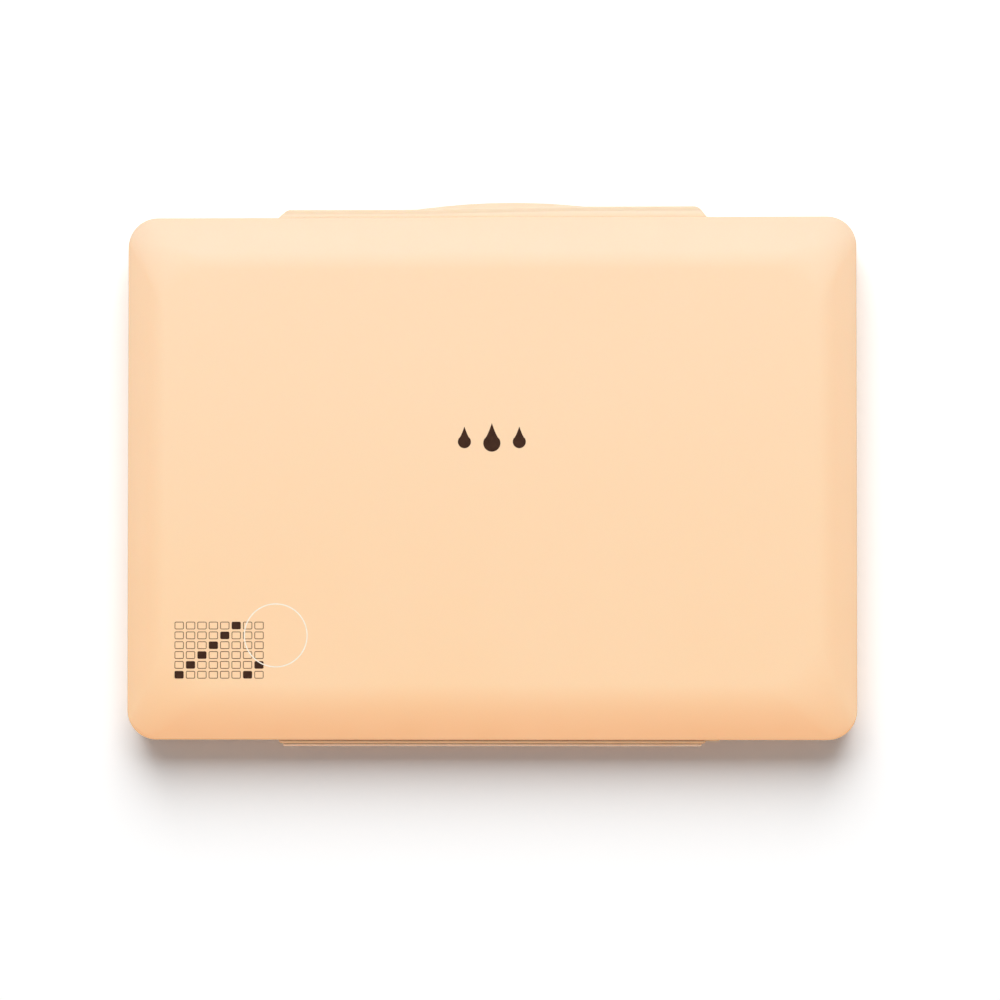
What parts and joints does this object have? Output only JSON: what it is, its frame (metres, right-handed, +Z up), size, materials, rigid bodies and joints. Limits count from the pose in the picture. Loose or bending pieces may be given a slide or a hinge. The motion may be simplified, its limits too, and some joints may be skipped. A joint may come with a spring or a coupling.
{
  "type": "gouache paint set box",
  "caption": "Flat clamshell box with a domed lid on a living hinge, a flap clasp, a tray of sealed gouache cups and a mixing palette clipped into the lid.",
  "frame": {"origin": "centre of the base's flat underside", "axes": "+X along the width to the right, +Y towards the clasp, away from the hinge, +Z up"},
  "size_m": [0.32, 0.2408, 0.034],
  "materials": {
    "case_plastic": "fine satin texture, pale apricot",
    "tray_plastic": "satin white",
    "cup_plastic": "smooth, slightly translucent white",
    "palette_plastic": "smooth white",
    "gouache": "moist opaque paint, one colour in each cup",
    "film": "clear heat-sealed film"
  },
  "bodies": {
    "base": {"base_shell": "case_plastic", "cup_tray": "tray_plastic", "hinge_web": "case_plastic", "paint_fills": "gouache", "seal_films": "film", "cup_01": "cup_plastic", "cup_02": "cup_plastic", "cup_03": "cup_plastic", "cup_04": "cup_plastic", "cup_05": "cup_plastic", "cup_06": "cup_plastic", "cup_07": "cup_plastic", "cup_08": "cup_plastic", "cup_09": "cup_plastic", "cup_10": "cup_plastic", "cup_11": "cup_plastic", "cup_12": "cup_plastic", "cup_13": "cup_plastic", "cup_14": "cup_plastic", "cup_15": "cup_plastic", "cup_16": "cup_plastic", "cup_17": "cup_plastic", "cup_18": "cup_plastic", "cup_19": "cup_plastic", "cup_20": "cup_plastic", "cup_21": "cup_plastic", "cup_22": "cup_plastic", "cup_23": "cup_plastic", "cup_24": "cup_plastic", "cup_25": "cup_plastic", "cup_26": "cup_plastic", "cup_27": "cup_plastic", "cup_28": "cup_plastic", "cup_29": "cup_plastic", "cup_30": "cup_plastic", "cup_31": "cup_plastic", "cup_32": "cup_plastic", "cup_33": "cup_plastic", "cup_34": "cup_plastic", "cup_35": "cup_plastic", "cup_36": "cup_plastic", "cup_37": "cup_plastic", "cup_38": "cup_plastic", "cup_39": "cup_plastic", "cup_40": "cup_plastic", "cup_41": "cup_plastic", "cup_42": "cup_plastic", "cup_43": "cup_plastic", "cup_44": "cup_plastic", "cup_45": "cup_plastic", "cup_46": "cup_plastic", "cup_47": "cup_plastic", "cup_48": "cup_plastic"},
    "lid": {"lid_shell": "case_plastic", "palette": "palette_plastic", "clasp_web": "case_plastic"},
    "clasp": {"clasp_flap": "case_plastic", "clasp_ridge": "case_plastic"}
  },
  "joints": [
    {"name": "lid_hinge", "type": "hinge", "parent": "base", "child": "lid", "pos_m": [0, -0.1167, 0.017], "axis": [1, 0, 0], "range_deg": [0, 180], "deforming": ["hinge_web", "clasp_ridge"]},
    {"name": "clasp_hinge", "type": "hinge", "parent": "lid", "child": "clasp", "pos_m": [0, 0.11885, 0.01865], "axis": [1, 0, 0], "range_deg": [0, 115], "deforming": ["clasp_web"]}
  ]
}
